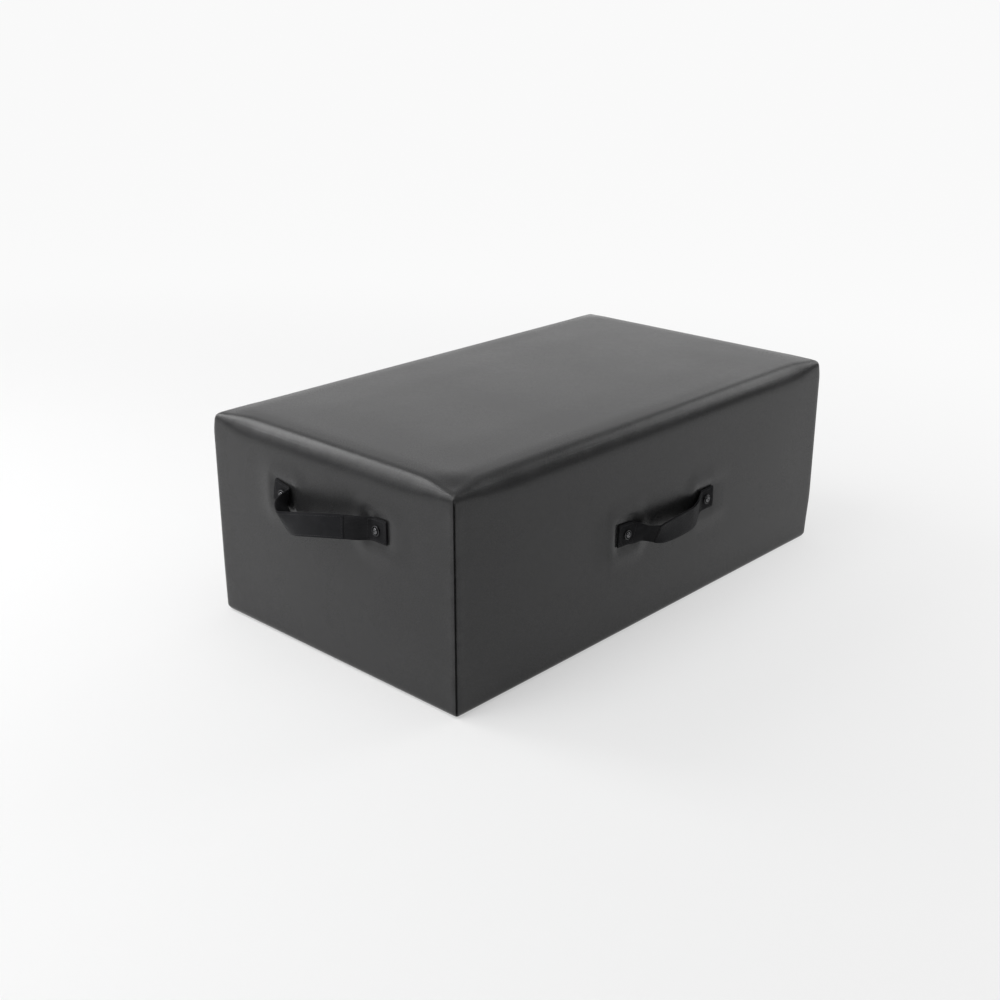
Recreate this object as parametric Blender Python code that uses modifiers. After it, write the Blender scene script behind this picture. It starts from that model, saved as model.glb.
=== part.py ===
"""Pilates sitting box: a plywood carcass with foam pads in one vinyl cover, and
four webbing handles, one on each side.

Run it with: blender --background --python part.py

Sizes are in metres. +X runs along the long sides, +Z is up, and the origin is on
the floor under the middle of the box. The front is the long side that faces -Y.
"""
import math

import bmesh
import bpy
from mathutils import Matrix, Vector

# Overall size, measured over the cover
LENGTH = 0.752
WIDTH = 0.4345
HEIGHT = 0.280
CROWN = 0.0015

# Rounding of the cover
RIM_RADIUS = 0.022
FOOT_RADIUS = 0.009
CORNER_RADIUS = 0.005
CORNER_FADE = 0.060
CROWN_REACH = 0.120
FOOT_PULL = 0.002
FOOT_PULL_HEIGHT = 0.080
HEM = 0.045

# Degrees that each facet of the cover's two rounds turns through
RIM_FACET = 15.0
FOOT_FACET = 22.5

# Clearance between pieces that touch
GAP = 0.0003

# Thickness of each layer, from the outside in
COVER_T = 0.0012
SIDE_FOAM_T = 0.008
TOP_FOAM_T = 0.025
SIDE_BOARD_T = 0.009
TOP_BOARD_T = 0.012
BOTTOM_BOARD_T = 0.006
BLOCK_SIDE = 0.025

# Webbing handles
WEB_WIDTH = 0.0295
WEB_T = 0.003
SCREW_SPACING = 0.170
TAB_END = 0.016
LABEL_LENGTH = 0.088
LABEL_T = 0.0006
LABEL_MARGIN = 0.003
LABEL_INSET = 0.0008
BAND_STEP = 0.003

# Handle screws, cup washers and tee nuts
SCREW_RADIUS = 0.0025
SCREW_TIP = 0.004
HEAD_RADIUS = 0.0039
HEAD_HEIGHT = 0.0022
HEAD_DOME = 0.0007
WASHER_RADIUS = 0.0065
WASHER_HEIGHT = 0.0020
WASHER_EDGE = 0.0006
NUT_BARREL_RADIUS = 0.0039
NUT_FLANGE_RADIUS = 0.009
NUT_FLANGE_T = 0.0015
ROUND_STEPS = 16

# Where each kind of handle sits: height of its screws, shift of its middle towards
# the viewer's right, how far it stands out and droops, and its label's shift
END_HANDLE = {"height": 0.2005, "shift": 0.0095, "reach": 0.0373, "droop": 0.0180, "label_shift": 0.005}
SIDE_HANDLE = {"height": 0.1395, "shift": 0.0100, "reach": 0.0232, "droop": 0.0076, "label_shift": 0.0}

# Run of each strap from the left screw to the right one, as the viewer sees it:
# place as a share of half the screw spacing, share of the reach, share of the droop,
# and how far the top edge leans out, in degrees
END_RUN = (
    (-1.00, 0.00, 0.00, 0),
    (-0.91, 0.00, 0.09, 0),
    (-0.86, 0.13, 0.18, 18),
    (-0.70, 0.50, 0.58, 40),
    (-0.50, 0.88, 0.98, 24),
    (-0.25, 1.00, 0.76, 4),
    (0.06, 0.99, 0.42, 0),
    (0.33, 0.88, 0.19, -2),
    (0.58, 0.63, 0.07, -5),
    (0.77, 0.35, 0.02, -5),
    (0.91, 0.00, 0.00, 0),
    (1.00, 0.00, 0.00, 0),
)
SIDE_RUN = (
    (-1.00, 0.00, 0.00, 0),
    (-0.90, 0.00, 0.08, 0),
    (-0.82, 0.12, 0.30, 10),
    (-0.68, 0.40, 0.57, 34),
    (-0.53, 0.83, 0.84, 26),
    (-0.41, 0.96, 0.92, 10),
    (-0.19, 1.00, 0.95, 1),
    (0.13, 0.93, 0.95, -3),
    (0.40, 0.79, 0.95, 0),
    (0.62, 0.48, 0.60, 8),
    (0.80, 0.15, 0.20, 7),
    (0.90, 0.00, 0.05, 0),
    (1.00, 0.00, 0.00, 0),
)

# Sizes that follow from those above
SKIN = COVER_T + GAP
CARCASS_INSET = SKIN + SIDE_FOAM_T + GAP
CARCASS_LENGTH = LENGTH - 2 * CARCASS_INSET
CARCASS_WIDTH = WIDTH - 2 * CARCASS_INSET
FOAM_LOW = HEIGHT - SKIN - TOP_FOAM_T
LID_LOW = FOAM_LOW - GAP - TOP_BOARD_T
FOOT_INSIDE = FOOT_RADIUS - COVER_T
FOOT_SAG = FOOT_INSIDE * (1 - math.cos(math.radians(FOOT_FACET / 2)))
FOOT_REACH = max(0.0, FOOT_RADIUS + FOOT_PULL - CARCASS_INSET)
WALL_LOW = FOOT_RADIUS - math.sqrt(FOOT_INSIDE ** 2 - FOOT_REACH ** 2) + FOOT_SAG + GAP
WALL_HIGH = LID_LOW - GAP
FLOOR_HIGH = WALL_LOW + BOTTOM_BOARD_T
TAB_MIDDLE = GAP + WEB_T / 2
TAB_FACE = GAP + WEB_T
BOARD_FACE = CARCASS_INSET - GAP / 2
NUT_FACE = CARCASS_INSET + SIDE_BOARD_T + GAP
HOLE_RADIUS = SCREW_RADIUS + GAP

# Colours of the finishes: red, green, blue, then roughness and metallic
FINISHES = {
    "vinyl": ((0.060, 0.060, 0.062), 0.42, 0.0),
    "foam": ((0.62, 0.60, 0.52), 0.95, 0.0),
    "plywood": ((0.58, 0.42, 0.25), 0.60, 0.0),
    "pine": ((0.66, 0.50, 0.31), 0.60, 0.0),
    "base_cloth": ((0.030, 0.030, 0.032), 0.90, 0.0),
    "webbing": ((0.014, 0.014, 0.015), 0.65, 0.0),
    "label": ((0.045, 0.045, 0.052), 0.50, 0.0),
    "black_steel": ((0.050, 0.050, 0.052), 0.35, 1.0),
    "zinc": ((0.62, 0.62, 0.60), 0.35, 1.0),
}


def clear_scene():
    for item in list(bpy.data.objects):
        bpy.data.objects.remove(item, do_unlink=True)


def new_collection(name):
    group = bpy.data.collections.new(name)
    bpy.context.scene.collection.children.link(group)
    return group


def finish(name):
    """The material of a finish, made the first time that it is asked for."""
    made = bpy.data.materials.get(name)
    if made:
        return made
    colour, roughness, metallic = FINISHES[name]
    made = bpy.data.materials.new(name)
    made.use_nodes = True
    shader = made.node_tree.nodes["Principled BSDF"]
    shader.inputs["Base Color"].default_value = (*colour, 1.0)
    shader.inputs["Roughness"].default_value = roughness
    shader.inputs["Metallic"].default_value = metallic
    return made


def add_object(name, mesh, look, group, parent=None):
    item = bpy.data.objects.new(name, mesh)
    if look:
        own = finish(look).copy()
        own.name = name
        mesh.materials.append(own)
    item.parent = parent
    group.objects.link(item)
    return item


def mesh_from(bm, name):
    mesh = bpy.data.meshes.new(name)
    bm.to_mesh(mesh)
    bm.free()
    return mesh


def add_board(name, low, high, look, group):
    """A board, pad or block between its lowest and highest corners."""
    size = [b - a for a, b in zip(low, high)]
    middle = [(a + b) / 2 for a, b in zip(low, high)]
    bm = bmesh.new()
    bmesh.ops.create_cube(bm, size=1.0, matrix=Matrix.Diagonal((*size, 1.0)))
    board = add_object(name, mesh_from(bm, name), look, group)
    board.location = middle
    return board


def on_round(inset, radius):
    """Where a point this far from a sharp edge lands once the edge is rounded: its
    new distance along its own face, and how far it sinks from that face."""
    if inset >= radius:
        return inset, 0.0
    slant = math.hypot(radius, radius - inset)
    return radius - radius * (radius - inset) / slant, radius - radius * radius / slant


def ease(share):
    share = min(max(share, 0.0), 1.0)
    return share * share * (3 - 2 * share)


def drawn_in(height):
    """How far the sides are drawn in at this height, where the cover is pulled tight
    under the box."""
    return FOOT_PULL * (1 - ease(height / FOOT_PULL_HEIGHT))


def pull_rows():
    """Heights of the loops that follow the drawn-in sides."""
    return [FOOT_PULL_HEIGHT * share for share in (0.3, 0.65, 1.0)]


def round_insets(radius, facet):
    """How far from a sharp edge the loops go that become the facets of its round."""
    return [radius * (1 - math.tan(math.radians(facet * i))) for i in range(round(45 / facet))]


def cut_across(bm, axis, places):
    """Edge loops at these places along one axis."""
    normal = Vector([1.0 if i == axis else 0.0 for i in range(3)])
    for place in places:
        geometry = bm.verts[:] + bm.edges[:] + bm.faces[:]
        bmesh.ops.bisect_plane(bm, geom=geometry, plane_co=normal * place, plane_no=normal)


def shaped_point(co, half, low, high, rim, foot, crown):
    """Moves one point of a cut-up box onto the padded box: a round rim that mitres
    at the corners, a smaller round at the foot, and a slight crown on top."""
    tiny = 1e-6
    from_side = [half[i] - abs(co[i]) for i in range(2)]
    nearest = min(from_side)
    z = co.z
    if high - co.z < tiny:
        insets = [on_round(edge, rim)[0] for edge in from_side]
        z = high - on_round(nearest, rim)[1]
        z += crown * math.prod(ease((edge - rim) / (CROWN_REACH - rim)) for edge in from_side)
    elif foot and co.z - low < tiny:
        pull = drawn_in(z)
        insets = [on_round(edge, foot)[0] + pull * max(0.0, 1 - edge / HEM) for edge in from_side]
        z = low + on_round(nearest, foot)[1]
    else:
        down, sunk = on_round(high - co.z, rim)
        up, sunk_low = on_round(co.z - low, foot) if foot else (co.z - low, 0.0)
        z = high - down if sunk else low + up
        sunk = max(sunk, sunk_low) + (drawn_in(z) if foot else 0.0)
        insets = [edge + sunk * max(0.0, 1 - edge / CORNER_FADE) for edge in from_side]
    if max(from_side) < tiny:
        insets = [inset + CORNER_RADIUS * (1 - math.cos(math.pi / 4)) for inset in insets]
    return Vector([math.copysign(half[i] - insets[i], co[i]) for i in range(2)] + [z])


def padded_box(length, width, low, high, rim, foot, crown):
    """The closed form of the cover, or of the pad under it."""
    half = (length / 2, width / 2)
    bm = bmesh.new()
    middle = Matrix.Translation((0, 0, (low + high) / 2))
    bmesh.ops.create_cube(bm, size=1.0, matrix=middle @ Matrix.Diagonal((length, width, high - low, 1)))
    insets = [CORNER_RADIUS, HEM, CROWN_REACH] + round_insets(rim, RIM_FACET)
    for axis in (0, 1):
        places = [half[axis] - inset for inset in insets]
        cut_across(bm, axis, places + [-place for place in places])
    rows = [high - inset for inset in round_insets(rim, RIM_FACET)]
    if foot:
        rows += [low + inset for inset in round_insets(foot, FOOT_FACET)] + pull_rows()
    cut_across(bm, 2, rows)
    for vert in bm.verts:
        vert.co = shaped_point(vert.co.copy(), half, low, high, rim, foot, crown)
    return bm


def smooth_rounds(item, angle=40):
    item.data.shade_smooth()
    item.data.set_sharp_from_angle(angle=math.radians(angle))


def cut_with(item, cutters):
    for cutter in cutters:
        cut = item.modifiers.new(cutter.name, "BOOLEAN")
        cut.operation = "DIFFERENCE"
        cut.solver = "EXACT"
        cut.object = cutter


def add_cover(group):
    """One vinyl sheet over the top and down the sides, with its hem turned under."""
    bm = padded_box(LENGTH, WIDTH, 0.0, HEIGHT, RIM_RADIUS, FOOT_RADIUS, CROWN)
    inside = (LENGTH / 2 - HEM, WIDTH / 2 - HEM)
    opening = []
    for face in bm.faces:
        middle = face.calc_center_median()
        if face.normal.z < -0.9 and all(abs(middle[i]) < inside[i] for i in range(2)):
            opening.append(face)
    bmesh.ops.delete(bm, geom=opening, context="FACES")
    cover = add_object("vinyl_cover", mesh_from(bm, "vinyl_cover"), "vinyl", group)
    shell = cover.modifiers.new("sheet", "SOLIDIFY")
    shell.thickness = COVER_T
    shell.offset = -1.0
    shell.use_even_offset = True
    smooth_rounds(cover)
    return cover


def add_top_pad(group):
    bm = padded_box(
        LENGTH - 2 * SKIN, WIDTH - 2 * SKIN, FOAM_LOW, HEIGHT - SKIN, RIM_RADIUS - SKIN, 0.0, CROWN)
    pad = add_object("top_foam_pad", mesh_from(bm, "top_foam_pad"), "foam", group)
    smooth_rounds(pad)
    return pad


def add_base_cloth(group):
    """The non-slip cloth that fills the opening inside the hem."""
    reach = (LENGTH / 2 - HEM - GAP, WIDTH / 2 - HEM - GAP)
    return add_board(
        "base_cloth", (-reach[0], -reach[1], 0.0), (reach[0], reach[1], COVER_T), "base_cloth", group)


def add_side_pad(name, low, high, axis, side, group):
    """A foam pad whose outer face is drawn in at the foot with the cover."""
    pad = add_board(name, low, high, "foam", group)
    rise = pad.location.z
    bm = bmesh.new()
    bm.from_mesh(pad.data)
    cut_across(bm, 2, [row - rise for row in pull_rows()])
    for vert in bm.verts:
        if vert.co[axis] * side > 0:
            vert.co[axis] -= side * drawn_in(vert.co.z + rise)
    bm.to_mesh(pad.data)
    bm.free()
    return pad


def add_side_pads(group):
    """Four foam pads between the boards and the cover. The long ones run over the
    ends of the short ones."""
    outer = (LENGTH / 2 - SKIN, WIDTH / 2 - SKIN)
    inner = (CARCASS_LENGTH / 2 + GAP, CARCASS_WIDTH / 2 + GAP)
    low = FOOT_RADIUS
    high = FOAM_LOW - GAP
    long_end = outer[0] - CORNER_RADIUS
    short_end = inner[1] - GAP
    pads = {}
    for name, side in (("front", -1), ("back", 1)):
        near, far = sorted((side * inner[1], side * outer[1]))
        pads[name] = add_side_pad(
            f"{name}_foam_pad", (-long_end, near, low), (long_end, far, high), 1, side, group)
    for name, side in (("left", -1), ("right", 1)):
        near, far = sorted((side * inner[0], side * outer[0]))
        pads[name] = add_side_pad(
            f"{name}_foam_pad", (near, -short_end, low), (far, short_end, high), 0, side, group)
    return pads


def add_carcass(group):
    """The plywood box: two long sides, two ends between them, a lid on top, a floor
    and a rib inside, and a glue block in each corner."""
    half_x = CARCASS_LENGTH / 2
    half_y = CARCASS_WIDTH / 2
    in_x = half_x - SIDE_BOARD_T
    in_y = half_y - SIDE_BOARD_T
    end_y = in_y - GAP
    floor_x = in_x - GAP
    boards = {}
    for name, side in (("front", -1), ("back", 1)):
        near, far = sorted((side * in_y, side * half_y))
        boards[name] = add_board(
            f"{name}_board", (-half_x, near, WALL_LOW), (half_x, far, WALL_HIGH), "plywood", group)
    for name, side in (("left", -1), ("right", 1)):
        near, far = sorted((side * in_x, side * half_x))
        boards[name] = add_board(
            f"{name}_board", (near, -end_y, WALL_LOW), (far, end_y, WALL_HIGH), "plywood", group)
    add_board(
        "lid_board", (-half_x, -half_y, LID_LOW), (half_x, half_y, LID_LOW + TOP_BOARD_T), "plywood", group)
    add_board("floor_board", (-floor_x, -end_y, WALL_LOW), (floor_x, end_y, FLOOR_HIGH), "plywood", group)
    rib = SIDE_BOARD_T / 2
    add_board("middle_rib", (-rib, -end_y, FLOOR_HIGH + GAP), (rib, end_y, WALL_HIGH), "plywood", group)
    for side_x, end in ((-1, "left"), (1, "right")):
        for side_y, face in ((-1, "front"), (1, "back")):
            x = sorted((side_x * (floor_x - BLOCK_SIDE), side_x * floor_x))
            y = sorted((side_y * (end_y - BLOCK_SIDE), side_y * end_y))
            add_board(
                f"{face}_{end}_corner_block", (x[0], y[0], FLOOR_HIGH + GAP), (x[1], y[1], WALL_HIGH),
                "pine", group)
    return boards


def strap_rows(run, handle):
    """The strap's run in metres: along the wall, out from it, up, and the lean. The
    tabs go on past the screws, in line with the strap."""
    half = SCREW_SPACING / 2
    rows = []
    for place, out, down, lean in run:
        rows.append((place * half, TAB_MIDDLE + out * (handle["reach"] - TAB_MIDDLE),
                     -down * handle["droop"], math.radians(lean)))
    first, second = rows[0], rows[1]
    slope = (second[2] - first[2]) / (second[0] - first[0])
    rows.insert(0, (-half - TAB_END, TAB_MIDDLE, first[2] - slope * TAB_END, 0.0))
    rows.append((half + TAB_END, TAB_MIDDLE, rows[-1][2], 0.0))
    return rows


def smooth_curve(rows, steps=12):
    """A smooth curve through all the rows, by cubic pieces."""
    count = len(rows)
    reach = [0.0]
    for a, b in zip(rows, rows[1:]):
        reach.append(reach[-1] + (Vector(b[:3]) - Vector(a[:3])).length)
    slopes = []
    for i in range(count):
        low, high = max(i - 1, 0), min(i + 1, count - 1)
        slopes.append([(rows[high][k] - rows[low][k]) / (reach[high] - reach[low]) for k in range(4)])
    curve = []
    for i in range(count - 1):
        span = reach[i + 1] - reach[i]
        for step in range(steps):
            t = step / steps
            weights = (
                2 * t**3 - 3 * t**2 + 1, (t**3 - 2 * t**2 + t) * span,
                3 * t**2 - 2 * t**3, (t**3 - t**2) * span)
            curve.append([
                weights[0] * rows[i][k] + weights[1] * slopes[i][k]
                + weights[2] * rows[i + 1][k] + weights[3] * slopes[i + 1][k] for k in range(4)])
    curve.append(list(rows[-1]))
    return curve


class Strap:
    """The middle line of a strap, and the flat of the webbing along it."""

    def __init__(self, run, handle):
        rows = smooth_curve(strap_rows(run, handle))
        self.points = []
        self.leans = []
        for along, out, up, lean in rows:
            out = max(out, TAB_MIDDLE)
            most = math.asin(min(1.0, (out - TAB_MIDDLE) / (WEB_WIDTH / 2)))
            self.points.append(Vector((along, -out, up)))
            self.leans.append(min(max(lean, -most), most))
        self.places = [0.0]
        for a, b in zip(self.points, self.points[1:]):
            self.places.append(self.places[-1] + (b - a).length)
        self.length = self.places[-1]

    def at(self, place):
        """The point at this distance along the strap, with the directions across the
        webbing, from its bottom edge to its top edge, and out of its face."""
        place = min(max(place, 0.0), self.length)
        i = 0
        while i < len(self.places) - 2 and self.places[i + 1] < place:
            i += 1
        share = (place - self.places[i]) / (self.places[i + 1] - self.places[i])
        point = self.points[i].lerp(self.points[i + 1], share)
        lean = self.leans[i] + share * (self.leans[i + 1] - self.leans[i])
        before = self.points[max(i - 1, 0)]
        after = self.points[min(i + 2, len(self.points) - 1)]
        along = (after - before).normalized()
        flat = Vector((-along.z, 0.0, along.x)).normalized()
        across = flat * math.cos(lean) + along.cross(flat) * math.sin(lean)
        return point, across, along.cross(across)


def evenly(start, end, step=BAND_STEP):
    """Places from start to end, about one step apart."""
    count = max(2, round((end - start) / step))
    return [start + (end - start) * i / count for i in range(count + 1)]


def add_band(name, strap, places, look, group, parent, thickness, width, lift=0.0):
    """A length of webbing: a bar with a loop cut at each place, laid along the strap."""
    steps = len(places) - 1
    bm = bmesh.new()
    bmesh.ops.create_cube(bm, size=1.0)
    cut_across(bm, 0, [step / steps - 0.5 for step in range(1, steps)])
    cut_across(bm, 1, [0.0])
    for vert in bm.verts:
        point, across, out = strap.at(places[round((vert.co.x + 0.5) * steps)])
        vert.co = point + across * (vert.co.y * width) + out * (vert.co.z * thickness + lift)
    return add_object(name, mesh_from(bm, name), look, group, parent)


def add_turned(name, profile, look, group, parent, place, closed):
    """A round piece, turned from a profile of radius and height. Its axis points out
    of the wall."""
    bm = bmesh.new()
    verts = [bm.verts.new((radius, 0.0, height)) for radius, height in profile]
    for a, b in zip(verts, verts[1:]):
        bm.edges.new((a, b))
    if closed:
        bm.edges.new((verts[-1], verts[0]))
    item = add_object(name, mesh_from(bm, name), look, group, parent)
    item.location = place
    item.rotation_euler = (math.pi / 2, 0.0, 0.0)
    turn = item.modifiers.new("turn", "SCREW")
    turn.steps = ROUND_STEPS
    turn.render_steps = ROUND_STEPS
    turn.use_merge_vertices = True
    turn.merge_threshold = 1e-5
    return item


def add_fasteners(name, side, x, group, parent):
    """The screw, cup washer and tee nut that hold one end of a strap."""
    seat = TAB_FACE + GAP
    bore = HOLE_RADIUS
    cone = WASHER_HEIGHT - WASHER_EDGE
    washer = (
        (bore + cone + WASHER_EDGE / 2, WASHER_HEIGHT), (WASHER_RADIUS, WASHER_EDGE), (WASHER_RADIUS, 0.0),
        (bore, 0.0), (bore, WASHER_EDGE), (bore + cone, WASHER_HEIGHT))
    add_turned(f"{name}_washer_{side}", washer, "black_steel", group, parent, (x, -seat, 0), True)
    neck = HEAD_HEIGHT - (HEAD_RADIUS - SCREW_RADIUS)
    tip = -(seat + NUT_FACE + NUT_FLANGE_T + SCREW_TIP)
    screw = (
        (0.0, HEAD_HEIGHT + HEAD_DOME), (HEAD_RADIUS * 0.6, HEAD_HEIGHT + HEAD_DOME * 0.8),
        (HEAD_RADIUS, HEAD_HEIGHT), (SCREW_RADIUS, neck), (SCREW_RADIUS, tip), (0.0, tip))
    add_turned(f"{name}_screw_{side}", screw, "black_steel", group, parent, (x, -seat, 0), False)
    barrel = SIDE_BOARD_T - GAP
    nut = (
        (NUT_BARREL_RADIUS, barrel), (NUT_BARREL_RADIUS, 0.0), (NUT_FLANGE_RADIUS, 0.0),
        (NUT_FLANGE_RADIUS, -NUT_FLANGE_T), (bore, -NUT_FLANGE_T), (bore, barrel))
    add_turned(f"{name}_tee_nut_{side}", nut, "zinc", group, parent, (x, NUT_FACE, 0), True)


def add_drill(name, radius, x, start, end, group, parent):
    """A cutter for a round hole, from one depth behind the cover's face to another."""
    bm = bmesh.new()
    bmesh.ops.create_cone(
        bm, cap_ends=True, segments=ROUND_STEPS, radius1=radius, radius2=radius, depth=end - start)
    drill = add_object(name, mesh_from(bm, name), None, group, parent)
    drill.location = (x, (start + end) / 2, 0)
    drill.rotation_euler = (math.pi / 2, 0.0, 0.0)
    drill.hide_render = True
    drill.display_type = "WIRE"
    return drill


def add_handle(name, handle, run, turn, wall, group, cutters):
    """One strap on the wall that faces this way, with what holds it. The empty is
    on the line that the grip swings about, through both tabs."""
    axis = bpy.data.objects.new(f"{name}_axis", None)
    group.objects.link(axis)
    spin = Matrix.Rotation(turn, 4, "Z")
    axis.matrix_world = spin @ Matrix.Translation((handle["shift"], -wall - TAB_MIDDLE, handle["height"]))
    face = bpy.data.objects.new(f"{name}_wall", None)
    group.objects.link(face)
    face.matrix_world = spin @ Matrix.Translation((handle["shift"], -wall, handle["height"]))
    strap = Strap(run, handle)
    middle = strap.length / 2 + handle["label_shift"]
    half_grip = LABEL_LENGTH / 2 + LABEL_MARGIN
    ends = (("left", 0.0, middle - half_grip - GAP), ("right", middle + half_grip + GAP, strap.length))
    drills = []
    nut_drills = []
    for side, start, end in ends:
        x = SCREW_SPACING / 2 * (-1 if side == "left" else 1)
        piece = add_band(
            f"{name}_strap_{side}", strap, evenly(start, end), "webbing", group, face, WEB_T, WEB_WIDTH)
        drill = add_drill(
            f"{name}_drill_{side}", HOLE_RADIUS, x, -TAB_FACE * 2, BOARD_FACE, cutters, face)
        nut_drill = add_drill(
            f"{name}_nut_drill_{side}", NUT_BARREL_RADIUS + GAP, x, BOARD_FACE, NUT_FACE + GAP, cutters, face)
        cut_with(piece, [drill])
        drills.append(drill)
        nut_drills.append(nut_drill)
        add_fasteners(name, side, x, group, face)
    label_places = evenly(middle - LABEL_LENGTH / 2, middle + LABEL_LENGTH / 2)
    grip_places = [middle - half_grip] + label_places + [middle + half_grip]
    grip = add_band(f"{name}_grip", strap, grip_places, "webbing", group, axis, WEB_T, WEB_WIDTH)
    label = add_band(
        f"{name}_label", strap, label_places, "label", group, axis, LABEL_T, WEB_WIDTH - 2 * LABEL_INSET,
        (WEB_T + LABEL_T) / 2 + GAP)
    for item in (grip, label):
        item.matrix_parent_inverse = Matrix.Translation((0, TAB_MIDDLE, 0))
    return drills, nut_drills


def build():
    clear_scene()
    group = new_collection("pilates_sitting_box")
    cutters = new_collection("cutters")
    cover = add_cover(group)
    add_top_pad(group)
    add_base_cloth(group)
    pads = add_side_pads(group)
    boards = add_carcass(group)
    quarter = math.pi / 2
    places = (
        ("front", SIDE_HANDLE, SIDE_RUN, 0.0, WIDTH / 2),
        ("back", SIDE_HANDLE, SIDE_RUN, 2 * quarter, WIDTH / 2),
        ("left", END_HANDLE, END_RUN, -quarter, LENGTH / 2),
        ("right", END_HANDLE, END_RUN, quarter, LENGTH / 2),
    )
    for name, handle, run, turn, wall in places:
        drills, nut_drills = add_handle(f"{name}_handle", handle, run, turn, wall, group, cutters)
        cut_with(cover, drills)
        cut_with(pads[name], drills)
        cut_with(boards[name], nut_drills)
    bpy.context.view_layer.update()


build()
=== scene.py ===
"""Looks of a pilates sitting box: a taut vinyl cover with sewn corners, webbing
handles with bare labels, and what holds them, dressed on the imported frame.

Sizes are in metres. +X runs along the long sides, +Z is up, and the front is the
long side that faces -Y.
"""
import math

import bmesh
import bpy
from mathutils import Matrix, Vector, noise


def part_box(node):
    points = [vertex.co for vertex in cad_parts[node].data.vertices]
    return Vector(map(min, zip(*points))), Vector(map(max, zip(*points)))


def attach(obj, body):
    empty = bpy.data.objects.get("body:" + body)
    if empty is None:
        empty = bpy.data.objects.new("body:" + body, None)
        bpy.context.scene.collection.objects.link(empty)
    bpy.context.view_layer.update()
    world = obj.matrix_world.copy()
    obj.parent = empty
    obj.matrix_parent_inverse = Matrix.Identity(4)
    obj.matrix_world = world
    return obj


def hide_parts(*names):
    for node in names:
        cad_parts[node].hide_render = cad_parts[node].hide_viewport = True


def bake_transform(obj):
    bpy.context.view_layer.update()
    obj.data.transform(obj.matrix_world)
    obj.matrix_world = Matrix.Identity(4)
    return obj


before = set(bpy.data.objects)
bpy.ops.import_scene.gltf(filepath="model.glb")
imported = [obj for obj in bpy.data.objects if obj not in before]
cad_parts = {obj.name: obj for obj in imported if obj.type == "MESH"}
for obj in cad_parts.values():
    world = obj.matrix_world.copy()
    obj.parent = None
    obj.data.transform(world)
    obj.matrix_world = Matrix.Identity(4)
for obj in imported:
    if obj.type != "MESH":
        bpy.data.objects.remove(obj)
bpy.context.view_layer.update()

MM = 0.001

# The box as the frame has it, without the crown of its top
_, COVER_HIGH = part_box("vinyl_cover")
HALF_X = COVER_HIGH.x
HALF_Y = COVER_HIGH.y
CROWN = 1.5 * MM
HEIGHT = COVER_HIGH.z - CROWN

# Form of the cover. The rim's round reaches RIM_RADIUS onto the top and RIM_DEPTH down
# the wall, and gets smaller near the corners. Seen from above, the corners are rounded
# within BAND of the walls. The top and the walls fall away a little before the rim.
BAND = 26 * MM
RIM_RADIUS = 18 * MM
RIM_DEPTH = 28 * MM
RIM_POWER = 2.0
RIM_CORNER_POWER = 2.4
RIM_CORNER_RADIUS = 10 * MM
RIM_CORNER_DEPTH = 12 * MM
RIM_CORNER_REACH = 75 * MM
TOP_SHOULDER = 3.0 * MM
TOP_SHOULDER_REACH = 38 * MM
TOP_SHOULDER_START = 90 * MM
TOP_SHOULDER_RISE = 70 * MM
WALL_SHOULDER = 1.8 * MM
WALL_SHOULDER_REACH = 32 * MM
PLAN_POWER = 3.5
SEAM_POWER = 15.0
FOOT_RADIUS = 9 * MM
FOOT_POWER = 2.2
FOOT_PULLS = (0.4 * MM, 2.4 * MM)
FOOT_PULL_HEIGHT = 80 * MM
CROWN_REACH = 120 * MM
CORNER_DIPS = (2.0 * MM, 5.0 * MM)
CORNER_DIP_REACH = 66 * MM
CORNER_DIP_DEPTH = 45 * MM
HEM = 45 * MM
HEM_RECESS = 1.6 * MM
UNDERSIDE = 1 * MM
WALL_SWELL = 0.9 * MM
WALL_SWELL_REACH = 150 * MM
GROOVE_DEPTH = 2.4 * MM
GROOVE_WIDTH = 1.6 * MM
GROOVE_SHARE = 0.7
GROOVE_TOP = 3 * MM
GROOVE_FADE = 9 * MM
SEAM_FOLD = 0.5 * MM
SEAM_FOLD_PLACE = 3.4 * MM
SEAM_FOLD_WIDTH = 1.4 * MM
RIPPLE = 0.22 * MM
RIPPLE_LENGTH = 110 * MM
WALL_RIPPLE_REACH = 30 * MM
TOP_RIPPLE_REACH = 40 * MM
TAB_SWELL = 2.0 * MM
TAB_SWELL_START = 9 * MM
TAB_SWELL_FALL = 26 * MM
TAB_PRESS_REACH = 11 * MM
# Painted shade along the corner seams' grooves: where it stops below the top, and its width
SEAM_SHADE_TOP = 4 * MM
SEAM_SHADE_WIDTH = GROOVE_WIDTH * 0.9

# Loops of the cover, in mm from the walls, up from the foot and down from the top, and
# the steps of the loops between them
WALL_LOOPS = (0, 0.45, 1, 1.8, 2.8, 4, 5.6, 7.6, 10, 13, 16.5, 20.5, 25, 30, 37, 44.6, 45.4, 52, 60)
FOOT_LOOPS = (0, 0.8, 2, 3.6, 5.4, 7.4, 9.6, 14, 20, 28, 38, 50)
RIM_LOOPS = (0, 1, 2.2, 3.8, 5.8, 8.2, 11, 14.2, 18, 22.5, 28, 35)
HANDLE_ZONE = 115 * MM
HANDLE_ZONE_STEP = 5 * MM
PLAIN_ZONE_STEP = 14 * MM
HEIGHT_STEP = 6 * MM

# Handles: their screws, the webbing and the label, and each kind's height, shift to
# the side, reach from the wall and droop
SCREW_SPACING = 170 * MM
TAB_END = 16 * MM
WEB_WIDTH = 29.5 * MM
WEB_T = 3 * MM
GAP = 0.3 * MM
TAB_MIDDLE = GAP + WEB_T / 2
LABEL_T = 0.6 * MM
LABEL_INSET = 0.3 * MM
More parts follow.
